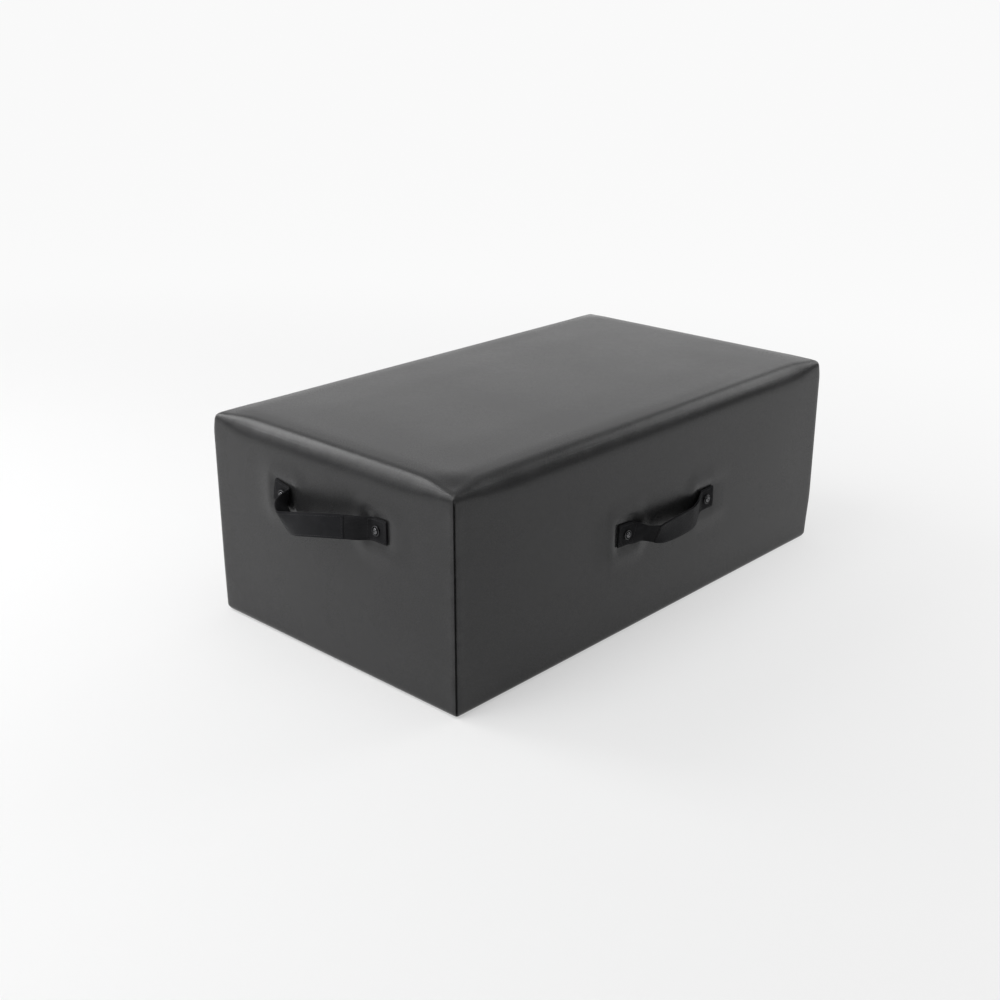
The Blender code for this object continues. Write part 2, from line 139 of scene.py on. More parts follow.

# Where a label starts and ends is measured from the strap's middle.
END_HANDLE = {"height": 200.5 * MM, "shift": 9.5 * MM, "reach": 37.3 * MM, "droop": 18 * MM,
              "label": (-43 * MM, 58 * MM), "bend_end": 21 * MM}
SIDE_HANDLE = {"height": 139.5 * MM, "shift": 10 * MM, "reach": 23.2 * MM, "droop": 7.6 * MM,
               "label": (-44 * MM, 58 * MM), "bend_end": 17 * MM}

# The run of each strap from the left screw to the right one, as the viewer sees it:
# place as a share of half the screw spacing, share of the reach, share of the droop,
# and the lean of its top edge in degrees
END_RUN = (
    (-1.0, 0.0, 0.0, 0),
    (-0.91, 0.0, 0.09, 0),
    (-0.87, 0.13, 0.18, 24),
    (-0.75, 0.5, 0.5, 58),
    (-0.57, 0.89, 0.8, 30),
    (-0.3, 1.0, 0.64, 5),
    (0.04, 0.99, 0.28, 0),
    (0.33, 0.88, 0.03, -2),
    (0.58, 0.63, -0.07, -5),
    (0.76, 0.35, -0.05, -5),
    (0.91, 0.0, 0.0, 0),
    (1.0, 0.0, 0.0, 0),
)
SIDE_RUN = (
    (-1.0, 0.0, 0.0, 0),
    (-0.9, 0.0, 0.08, 0),
    (-0.82, 0.12, 0.3, 10),
    (-0.68, 0.4, 0.57, 34),
    (-0.53, 0.83, 0.84, 26),
    (-0.41, 0.96, 0.92, 10),
    (-0.19, 1.0, 0.95, 1),
    (0.13, 0.93, 0.95, -3),
    (0.4, 0.79, 0.95, 0),
    (0.62, 0.48, 0.6, 8),
    (0.8, 0.15, 0.2, 7),
    (0.9, 0.0, 0.05, 0),
    (1.0, 0.0, 0.0, 0),
)

# Each handle's sizes and run, the turn from the front to its wall, and how far from the
# middle of the box that wall is
HANDLES = {
    "front": (SIDE_HANDLE, SIDE_RUN, 0.0, HALF_Y),
    "back": (SIDE_HANDLE, SIDE_RUN, math.pi, HALF_Y),
    "left": (END_HANDLE, END_RUN, -math.pi / 2, HALF_X),
    "right": (END_HANDLE, END_RUN, math.pi / 2, HALF_X),
}

# Loops of the straps and labels: across the webbing as a share of its width, at the
# strap's ends, and the step between them. The edges thin out to EDGE_THICKNESS of the
# middle, more sharply with a higher power.
ACROSS = (-0.5, -0.488, -0.465, -0.43, -0.3, -0.15, 0.0, 0.15, 0.3, 0.43, 0.465, 0.488, 0.5)
STRAP_ENDS = (0.0, 0.5 * MM, 1.2 * MM)
STRAP_STEP = 2.5 * MM
CURVE_STEPS = 12
EDGE_THICKNESS = 0.25
STRAP_EDGE_POWER = 10
LABEL_EDGE_POWER = 24

# Screws and cup washers
SCREW_SEAT = GAP + WEB_T + GAP
WASHER_RADIUS = 6.5 * MM
WASHER_HEIGHT = 2.0 * MM
WASHER_ROLL = 0.9 * MM
WASHER_FLOOR = 0.45 * MM
HOLE_PLAY = 0.3 * MM
HEAD_RADIUS = 3.9 * MM
HEAD_BOTTOM = 0.1 * MM
HEAD_CORNER = 0.35 * MM
HEAD_SIDE = 1.3 * MM
HEAD_CROWN = 2.2 * MM + 0.7 * MM
HEAD_FULLNESS = 0.7
HEAD_STEPS = 9
HEAD_LIFT = 0.6 * MM
RECESS = (3.9 * MM, 0.85 * MM, 2.6 * MM)
SHANK_RADIUS = 2.5 * MM
SHANK_END = -24.6 * MM
SHANK_TIP = 1.2 * MM
SCREW_TURNS = {"front": 20, "back": 65, "left": 40, "right": 5}
SCREW_TURNS_APART = 25

# Stitches, and how far their lines run in from the edges of the webbing, the ends of a
# label, and the outer and inner end of a screwed tab
STITCH_LENGTH = 2.9 * MM
STITCH_STEP = 3.6 * MM
STITCH_WIDTH = 0.62 * MM
STITCH_HEIGHT = 0.42 * MM
STITCH_SIDE_HEIGHT = 0.5
STITCH_END_WIDTH = 0.6
STITCH_END_SINK = 0.45
STITCH_LIFT = 0.05 * MM
STITCH_EDGE_INSET = 2.4 * MM
STITCH_LABEL_INSET = 2.2 * MM
STITCH_TAB_INSET = 2.6 * MM
STITCH_TAB_SHORT = 2 * MM

# Base cloth and staples
CLOTH_Z = (0.55 * MM, 1.15 * MM)
CLOTH_EDGE_Z = 0.9 * MM
CLOTH_EDGE_SHARE = 0.6
CLOTH_STEP = 24 * MM
CLOTH_EDGE_LOOPS = (3 * MM, 1.2 * MM)
CLOTH_PUFF = 0.25 * MM
CLOTH_PUFFS_PER_METRE = 14
CLOTH_PUFF_REACH = 20 * MM
STAPLE_SIZE = (10 * MM, 1.1 * MM, 0.45 * MM)
STAPLE_STEP = 42 * MM
STAPLE_INSET = 6 * MM
STAPLE_STARTS = (14 * MM, 16 * MM)
STAPLE_Z = 0.3 * MM
STAPLE_ROUND = 0.18
STAPLE_TILT = 7
STAPLE_TILT_CHANGE = 2.3

# Colours, two where a slow change blends one into the other
VINYL_COLOURS = ((0.0285, 0.0285, 0.0292), (0.0328, 0.0328, 0.0335))
# Painted shade in the creases between the pebbles of the grain
VINYL_CREASE_SHADE = (0.023, 0.023, 0.0236)
VINYL_WORN = (0.070, 0.070, 0.071)
# Painted shade darkening the grooves of the corner seams
VINYL_SEAM_SHADE = (0.011, 0.011, 0.0115)
WEBBING_COLOURS = ((0.0190, 0.0190, 0.0202), (0.0245, 0.0245, 0.0260))
# Painted shade in the gaps between the webbing's yarns
WEBBING_GAP_SHADE = (0.008, 0.008, 0.0085)
LABEL_COLOURS = ((0.0160, 0.0161, 0.0176), (0.0198, 0.0200, 0.0219))
# Painted shade in the gaps between the label's yarns
LABEL_GAP_SHADE = (0.009, 0.009, 0.010)
THREAD_COLOURS = ((0.022, 0.022, 0.024), (0.036, 0.036, 0.038))
CLOTH_COLOURS = ((0.018, 0.018, 0.019), (0.028, 0.028, 0.029))
CLOTH_DOTS = (0.01, 0.01, 0.011)

# Camera of the photograph, its angles in degrees and its lens in mm
CAMERA_PLACE = (-1.3417, -1.1869, 0.7942)
CAMERA_YAW = 43.06
CAMERA_PITCH = 21.0
CAMERA_LENS = 49.4
CAMERA_SENSOR = 36.0

# Floor, backdrop and lamps. Seen directly, the world is a plain white and the floor
# glows a little, less near the box. Backdrop, ceiling, room and lamps light the box.
FLOOR_SIZE = 120.0
FLOOR_COLOURS = ((0.86, 0.86, 0.86), (0.8471, 0.8471, 0.8471))
FLOOR_GLOW = (0.97, 0.97, 0.97, 1.0)
FLOOR_GLOW_NEAR = 0.42
FLOOR_GLOW_FAR = 0.97
FLOOR_GLOW_CENTRE = (-0.9, 0.2, 0.0)
FLOOR_GLOW_REACH = (0.2, 2.6)
PLAIN_LEVEL = 0.95
BACKDROP_AZIMUTH = 50.0
BACKDROP_SIDES = (0.0, 0.9)
BACKDROP_TOP = (0.45, 0.88)
BACKDROP_LEVEL = 0.83
CEILING_RAMP = (0.7, 0.9)
CEILING_LEVEL = 0.35
ROOM_LEVEL = 0.14
SOFTBOX_AIM = Vector((0, 0, 0.15))

# Each softbox's name, azimuth and elevation in degrees, distance, size and brightness
SOFTBOXES = (
    ("rim_softbox", 115.0, 35.0, 2.6, (0.9, 1.5), 5.4),
    ("high_end_softbox", 168.0, 55.0, 2.6, (1.1, 1.1), 4.2),
    ("left_softbox", 142.0, 30.0, 2.6, (1.1, 1.1), 1.5),
    ("end_softbox", 172.0, 30.0, 2.6, (1.1, 1.1), 2.9),
    ("right_softbox", 339.0, 26.0, 2.6, (1.1, 1.1), 2.6),
    ("far_softbox", 10.0, 30.0, 2.6, (1.1, 1.1), 0.5),
    ("top_softbox", 220.0, 84.0, 2.4, (1.6, 1.6), 1.3),
)


# Small tools

def deselect():
    if bpy.context.object and bpy.context.object.mode != "OBJECT":
        bpy.ops.object.mode_set(mode="OBJECT")
    bpy.ops.object.select_all(action="DESELECT")


def ease(share):
    """Smooth from 0 to 1 as the share goes from 0 to 1, and level beyond."""
    share = min(max(share, 0.0), 1.0)
    return share * share * (3 - 2 * share)


def mix(a, b, share):
    return a + (b - a) * share


def hump(distance, width):
    """1 at distance 0, falling smoothly to almost 0 at twice the width."""
    return math.exp(-(distance / width) ** 2)


def add_object(name, data):
    made = bpy.data.objects.new(name, data)
    bpy.context.scene.collection.objects.link(made)
    return made


def copies(name, master, spots):
    """One piece of many copies of the master's mesh, each moved by its matrix."""
    bm = bmesh.new()
    for spot in spots:
        first = len(bm.verts)
        bm.from_mesh(master.data)
        bm.verts.ensure_lookup_table()
        for vert in bm.verts[first:]:
            vert.co = spot @ vert.co
    mesh = bpy.data.meshes.new(name)
    bm.to_mesh(mesh)
    bm.free()
    return add_object(name, mesh)


def ruled_box(name, rulings):
    """A cube cut by loops, whose points then go to these places along each axis."""
    deselect()
    bpy.ops.mesh.primitive_cube_add(size=1.0)
    box = bpy.context.object
    box.name = name
    box.data.name = name
    bpy.ops.object.mode_set(mode="EDIT")
    bpy.ops.mesh.select_mode(type="EDGE")
    for axis, places in enumerate(rulings):
        if len(places) < 3:
            continue
        bm = bmesh.from_edit_mesh(box.data)
        for edge in bm.edges:
            run = edge.verts[0].co - edge.verts[1].co
            edge.select_set(abs(run[axis]) > run.length / 2)
        bm.select_flush_mode()
        bmesh.update_edit_mesh(box.data)
        bpy.ops.mesh.subdivide(number_cuts=len(places) - 2)
    bpy.ops.object.mode_set(mode="OBJECT")
    for vert in box.data.vertices:
        for axis, places in enumerate(rulings):
            vert.co[axis] = places[round((vert.co[axis] + 0.5) * (len(places) - 1))]
    return box


def smooth(piece, angle):
    """Shades it smooth, but for edges sharper than this angle in degrees."""
    piece.data.shade_smooth()
    piece.data.set_sharp_from_angle(angle=math.radians(angle))


# Looks

def new_group(name, takes, gives):
    """A node group with these inputs, as name: value, and these outputs. Gives the
    group, what comes in by name, and what goes out by name."""
    group = bpy.data.node_groups.new(name, "ShaderNodeTree")
    for label, value in takes.items():
        kind = "NodeSocketVector" if isinstance(value, tuple) else "NodeSocketFloat"
        socket = group.interface.new_socket(label, in_out="INPUT", socket_type=kind)
        socket.default_value = value
    for label in gives:
        group.interface.new_socket(label, in_out="OUTPUT", socket_type="NodeSocketFloat")
    return group, group.nodes.new("NodeGroupInput").outputs, group.nodes.new("NodeGroupOutput").inputs


def node(tree, kind, settings=None, **links):
    """A node with these settings, and its inputs linked or set. An input's name has _
    for a space, and an index stands as input_0."""
    made = tree.nodes.new("ShaderNode" + kind)
    for label, value in (settings or {}).items():
        setattr(made, label, value)
    for label, value in links.items():
        key = int(label[6:]) if label.startswith("input_") else label.replace("_", " ")
        socket = made.inputs[key]
        if isinstance(value, bpy.types.NodeSocket):
            tree.links.new(value, socket)
        else:
            socket.default_value = value
    return made


def maths(tree, operation, a, b=0.0, c=0.0):
    """What a Math node makes of up to three values."""
    return node(tree, "Math", {"operation": operation}, input_0=a, input_1=b, input_2=c).outputs[0]


def ramp(tree, value, low, high, start=0.0, end=1.0):
    """Value brought from low..high to start..end, eased at both ends."""
    made = node(tree, "MapRange", {"interpolation_type": "SMOOTHSTEP"}, Value=value)
    for label, number in (("From Min", low), ("From Max", high), ("To Min", start), ("To Max", end)):
        made.inputs[label].default_value = number
    return made.outputs[0]


def make_slow_change():
    """A soft, cloudy change from 0 to 1, its clouds about Size across."""
    group, takes, gives = new_group("slow_change", {"Place": (0.0, 0.0, 0.0), "Size": 0.1}, ["Change"])
    scale = maths(group, "DIVIDE", 1.0, takes["Size"])
    cloud = node(group, "TexNoise", Vector=takes["Place"], Scale=scale, Detail=3.0, Roughness=0.55)
    group.links.new(ramp(group, cloud.outputs[0], 0.3, 0.7), gives["Change"])
    return group


def make_pebble_grain():
    """Uneven pebbles about Size across, with fine folds on them and creases between."""
    group, takes, gives = new_group(
        "pebble_grain", {"Place": (0.0, 0.0, 0.0), "Size": 0.001, "Fold": 0.5}, ["Height", "Creases"])
    place = takes["Place"]
    scale = maths(group, "DIVIDE", 1.0, takes["Size"])
    wide = maths(group, "MULTIPLY", scale, 0.45)
    warp = node(group, "TexNoise", Vector=place, Scale=wide, Detail=2.0)
    lean = node(group, "VectorMath", {"operation": "SCALE"}, input_0=warp.outputs[1])
    group.links.new(maths(group, "MULTIPLY", takes["Size"], 0.9), lean.inputs["Scale"])
    moved = node(group, "VectorMath", {"operation": "ADD"}, input_0=place, input_1=lean.outputs[0])
    cells = node(group, "TexVoronoi", {"feature": "DISTANCE_TO_EDGE"}, Vector=moved.outputs[0], Scale=scale)
    edge = cells.outputs["Distance"]
    fine = maths(group, "MULTIPLY", scale, 2.6)
    folds = node(group, "TexNoise", Vector=place, Scale=fine, Detail=2.0)
    dome = ramp(group, edge, 0.0, 0.42)
    height = maths(group, "MULTIPLY_ADD", folds.outputs[0], takes["Fold"], dome)
    group.links.new(height, gives["Height"])
    # Creases: a mask of the creases, for their painted shade and their roughness
    group.links.new(ramp(group, edge, 0.0, 0.28, 1.0, 0.0), gives["Creases"])
    return group


def make_web_weave():
    """Columns of yarn along a strap, each half a pick on from the one beside it."""
    group, takes, gives = new_group(
        "web_weave", {"Place": (0.0, 0.0, 0.0), "Column": 0.0016, "Pick": 0.0012}, ["Height", "Gaps"])
    split = node(group, "SeparateXYZ", Vector=takes["Place"])
    column = maths(group, "DIVIDE", split.outputs[1], takes["Column"])
    pick = maths(group, "DIVIDE", split.outputs[0], takes["Pick"])
    shifted = maths(group, "MULTIPLY_ADD", maths(group, "FLOOR", column), 0.5, pick)
    across, along = [
        maths(group, "ABSOLUTE", maths(group, "SINE", maths(group, "MULTIPLY", count, math.pi)))
        for count in (column, shifted)]
    height = maths(group, "MULTIPLY", maths(group, "POWER", across, 0.5),
                   maths(group, "MULTIPLY_ADD", along, 0.5, 0.5))
    group.links.new(height, gives["Height"])
    # Gaps: a mask of the gaps between yarns, for their painted shade and their roughness
    group.links.new(ramp(group, height, 0.1, 0.6, 1.0, 0.0), gives["Gaps"])
    return group


def make_wood_grain():
    """Rings about Ring apart, drawn out by Stretch, with fine pores."""
    group, takes, gives = new_group(
        "wood_grain", {"Place": (0.0, 0.0, 0.0), "Ring": 0.012, "Stretch": (1.0, 12.0, 12.0)},
        ["Grain", "Pores"])
    drawn = node(group, "VectorMath", {"operation": "MULTIPLY"},
                 input_0=takes["Place"], input_1=takes["Stretch"])
    scale = maths(group, "DIVIDE", 0.12, takes["Ring"])
    rings = node(group, "TexNoise", Vector=drawn.outputs[0], Scale=scale, Detail=4.0, Distortion=0.6)
    bands = maths(group, "FRACT", maths(group, "MULTIPLY", rings.outputs[0], 9.0))
    group.links.new(ramp(group, bands, 0.0, 0.8), gives["Grain"])
    fine = maths(group, "MULTIPLY", scale, 14.0)
    pores = node(group, "TexNoise", Vector=drawn.outputs[0], Scale=fine, Detail=2.0)
    group.links.new(ramp(group, pores.outputs[0], 0.55, 0.7), gives["Pores"])
    return group


def make_handling_wear():
    """Worn patches about Size across, where Edge allows them."""
    group, takes, gives = new_group(
        "handling_wear", {"Place": (0.0, 0.0, 0.0), "Edge": 0.0, "Size": 0.01}, ["Wear"])
    scale = maths(group, "DIVIDE", 1.0, takes["Size"])
    patches = node(group, "TexNoise", Vector=takes["Place"], Scale=scale, Detail=5.0, Roughness=0.65)
    worn = maths(group, "MULTIPLY", takes["Edge"], ramp(group, patches.outputs[0], 0.35, 0.65))
    group.links.new(worn, gives["Wear"])
    return group


SLOW_CHANGE = make_slow_change()
PEBBLE_GRAIN = make_pebble_grain()
WEB_WEAVE = make_web_weave()
WOOD_GRAIN = make_wood_grain()
HANDLING_WEAR = make_handling_wear()


class Finish:
    """A material of its own, with what its nodes share: the place on the piece, its
    Principled shader, and short ways to put in groups and blend colours."""

    def __init__(self, name, roughness, metallic=0.0, **fixed):
        self.material = bpy.data.materials.new(name)
        self.material.use_nodes = True
        self.tree = self.material.node_tree
        self.shader = self.tree.nodes["Principled BSDF"]
        self.shader.inputs["Roughness"].default_value = roughness
        self.shader.inputs["Metallic"].default_value = metallic
        for label, value in fixed.items():
            self.shader.inputs[label.replace("_", " ")].default_value = value
        self.place = node(self.tree, "TexCoord").outputs["Object"]

    def group(self, group, **links):
        return node(self.tree, "Group", {"node_tree": group}, **links).outputs

    def mixed(self, share, a, b):
        """Colour a to colour b by share."""
        made = self.tree.nodes.new("ShaderNodeMix")
        made.data_type = "RGBA"
        self.put(made.inputs[0], share)
        self.put(made.inputs[6], a)
        self.put(made.inputs[7], b)
        return made.outputs[2]

    def put(self, socket, value):
        if isinstance(value, bpy.types.NodeSocket):
            self.tree.links.new(value, socket)
        elif isinstance(value, tuple):
            socket.default_value = (*value, 1.0)
        else:
            socket.default_value = value

    def part(self, value, share):
        return maths(self.tree, "MULTIPLY", value, share)

    def paint(self, colour):
        self.put(self.shader.inputs["Base Color"], colour)

    def gloss(self, change, low, high):
        """Roughness from low to high as the change goes from 0 to 1."""
        rough = node(self.tree, "MapRange", Value=change)
        rough.inputs["To Min"].default_value = low
        rough.inputs["To Max"].default_value = high
        self.tree.links.new(rough.outputs[0], self.shader.inputs["Roughness"])

    def bump(self, height, depth):
        made = node(self.tree, "Bump", Height=height, Distance=depth, Strength=1.0)
        self.tree.links.new(made.outputs[0], self.shader.inputs["Normal"])

    def own(self, name):
        """A value kept on the piece's points."""
        return node(self.tree, "Attribute", {"attribute_name": name}).outputs["Fac"]

    def along(self):
        """The place along and across a strap, from the piece's own map."""
        return node(self.tree, "UVMap", {"uv_map": "along"}).outputs[0]


def make_vinyl():
    look = Finish("charcoal_vinyl", 0.38, IOR=1.37)
    grain = look.group(PEBBLE_GRAIN, Place=look.place, Size=1.15 * MM, Fold=0.35)
    slow = look.group(SLOW_CHANGE, Place=look.place, Size=0.16)
    wear = look.group(HANDLING_WEAR, Place=look.place, Edge=look.own("edge"), Size=0.02)
    colour = look.mixed(slow[0], *VINYL_COLOURS)
    # Painted shade darkens the creases of the grain
    colour = look.mixed(look.part(grain[1], 0.35), colour, VINYL_CREASE_SHADE)
    colour = look.mixed(look.part(wear[0], 0.35), colour, VINYL_WORN)
    # Painted shade darkens the grooves of the corner seams
    look.paint(look.mixed(look.own("seam"), colour, VINYL_SEAM_SHADE))
    half = look.part(slow[0], 0.5)
    look.gloss(maths(look.tree, "MULTIPLY_ADD", grain[1], 0.35, half), 0.24, 0.33)
    look.bump(grain[0], 0.035 * MM)
    return look.material


def make_webbing():
    look = Finish("black_webbing", 0.7, Specular_IOR_Level=0.03)
    weave = look.group(WEB_WEAVE, Place=look.along(), Column=1.75 * MM, Pick=1.3 * MM)
    slow = look.group(SLOW_CHANGE, Place=look.place, Size=0.02)
    colour = look.mixed(slow[0], *WEBBING_COLOURS)
    # Painted shade darkens the gaps between the yarns
    look.paint(look.mixed(look.part(weave[1], 0.7), colour, WEBBING_GAP_SHADE))
    look.gloss(weave[1], 0.6, 0.85)
    look.bump(weave[0], 0.22 * MM)
    return look.material


def make_label_look():
    look = Finish("bare_label", 0.55, Specular_IOR_Level=0.05)
    weave = look.group(WEB_WEAVE, Place=look.along(), Column=0.5 * MM, Pick=0.42 * MM)
    slow = look.group(SLOW_CHANGE, Place=look.place, Size=0.015)
    colour = look.mixed(slow[0], *LABEL_COLOURS)
    # Painted shade darkens the gaps between the label's yarns
    look.paint(look.mixed(look.part(weave[1], 0.3), colour, LABEL_GAP_SHADE))
    look.gloss(weave[1], 0.44, 0.6)
    look.bump(weave[0], 0.05 * MM)
    return look.material


def make_thread():
    look = Finish("grey_thread", 0.6, Specular_IOR_Level=0.2)
    slow = look.group(SLOW_CHANGE, Place=look.place, Size=0.004)
    look.paint(look.mixed(slow[0], *THREAD_COLOURS))
    fibre = node(look.tree, "TexNoise", Vector=look.place, Scale=3500.0, Detail=2.0)
    look.bump(fibre.outputs[0], 0.06 * MM)
    return look.material


def make_metal(name, colour, worn, roughness, grain):
    look = Finish(name, roughness, 1.0)
    slow = look.group(SLOW_CHANGE, Place=look.place, Size=0.006)
    edge = ramp(look.tree, node(look.tree, "NewGeometry").outputs["Pointiness"], 0.52, 0.62)
    wear = look.group(HANDLING_WEAR, Place=look.place, Edge=edge, Size=1.5 * MM)
    look.paint(look.mixed(look.part(wear[0], 0.6), colour, worn))
    look.gloss(slow[0], roughness - 0.06, roughness + 0.08)
    fine = node(look.tree, "TexNoise", Vector=look.place, Scale=grain, Detail=3.0)
    look.bump(fine.outputs[0], 0.02 * MM)
    return look.material


def make_wood(name, light, dark, stretch, ring):
    look = Finish(name, 0.6)
    grain = look.group(WOOD_GRAIN, Place=look.place, Ring=ring, Stretch=stretch)
    slow = look.group(SLOW_CHANGE, Place=look.place, Size=0.12)
    colour = look.mixed(grain[0], light, dark)
    colour = look.mixed(look.part(slow[0], 0.25), colour, dark)
    pores = tuple(c * 0.4 for c in dark)
    look.paint(look.mixed(look.part(grain[1], 0.5), colour, pores))
    look.gloss(grain[0], 0.55, 0.7)
    look.bump(grain[0], 0.08 * MM)
    return look.material


def make_base_look():
    look = Finish("black_base_cloth", 0.85)
    fibres = node(look.tree, "TexNoise", Vector=look.place, Scale=900.0, Detail=5.0, Roughness=0.7)
    slow = look.group(SLOW_CHANGE, Place=look.place, Size=0.03)
    cells = node(look.tree, "TexVoronoi", Vector=look.place, Scale=420.0)
    dots = ramp(look.tree, cells.outputs["Distance"], 0.15, 0.35, 0.5, 0.0)
    look.paint(look.mixed(dots, look.mixed(slow[0], *CLOTH_COLOURS), CLOTH_DOTS))
    look.gloss(fibres.outputs[0], 0.75, 0.95)
    look.bump(fibres.outputs[0], 0.15 * MM)
    return look.material


def dress(piece, look):
    """Gives the piece this look alone."""
    piece.data.materials.clear()
    piece.data.materials.append(look)


VINYL = make_vinyl()
WEBBING = make_webbing()
LABEL = make_label_look()
THREAD = make_thread()
NICKEL = make_metal("nickel", (0.13, 0.13, 0.135), (0.34, 0.34, 0.345), 0.2, 700.0)
BLACK_STEEL = make_metal("black_steel", (0.035, 0.035, 0.037), (0.35, 0.35, 0.36), 0.3, 900.0)
ZINC = make_metal("zinc", (0.62, 0.62, 0.64), (0.75, 0.75, 0.77), 0.38, 500.0)
PLYWOOD = make_wood("birch_plywood", (0.62, 0.44, 0.26), (0.44, 0.28, 0.14), (1.0, 9.0, 9.0), 9 * MM)
PINE = make_wood("pine", (0.66, 0.46, 0.25), (0.46, 0.27, 0.11), (10.0, 10.0, 1.0), 5 * MM)
BASE_CLOTH = make_base_look()


# Cover

def both_ways(half_places):
    """Places on one side of the middle, mirrored to the other side."""
    return sorted({-place for place in half_places} | set(half_places))


def steps(start, end, step):
    """Even places from start to end, about a step apart."""
    count = max(1, round((end - start) / step))
    return [start + (end - start) * i / count for i in range(count + 1)]


def wall_ruling(half):
    """Loops across the length or width: fine at the rim and by the handles."""
    edge = [half - inset * MM for inset in WALL_LOOPS]
    near = steps(0.0, HANDLE_ZONE, HANDLE_ZONE_STEP)
    far = steps(near[-1], edge[-1], PLAIN_ZONE_STEP)
    return both_ways(near + far[1:-1] + edge)


def height_ruling():
    foot = [place * MM for place in FOOT_LOOPS]
    rim = [HEIGHT - place * MM for place in RIM_LOOPS]
    return sorted(foot + steps(foot[-1], rim[-1], HEIGHT_STEP)[1:-1] + rim)


def rounded(inward, along, radius, depth, power):
    """Rounds the square edge between two faces. Takes how far a point is from each
    face's edge, and gives how far it lies from each face once the edge is round."""
    if inward >= radius or along >= depth:
        return inward, along
    a = (radius - inward) / radius
    b = (depth - along) / depth
    pull = (a ** power + b ** power) ** (-1 / power)
    return radius * (1 - a * pull), depth * (1 - b * pull)


def off_tabs(x, y, z):
    """How far a point of a wall is from the nearest pressed-in tab of the handle
    there."""
    nearest = 1.0
    for handle, _, turn, wall in HANDLES.values():
        local = Matrix.Rotation(-turn, 3, "Z") @ Vector((x, y, z))
        if local.y > -wall + RIM_RADIUS:
            continue
        for side in (-1, 1):
            along = abs(local.x - handle["shift"] - side * SCREW_SPACING / 2) - TAB_END
            up = abs(local.z - handle["height"]) - WEB_WIDTH / 2
            nearest = min(nearest, math.hypot(max(along, 0.0), max(up, 0.0)))
    return nearest


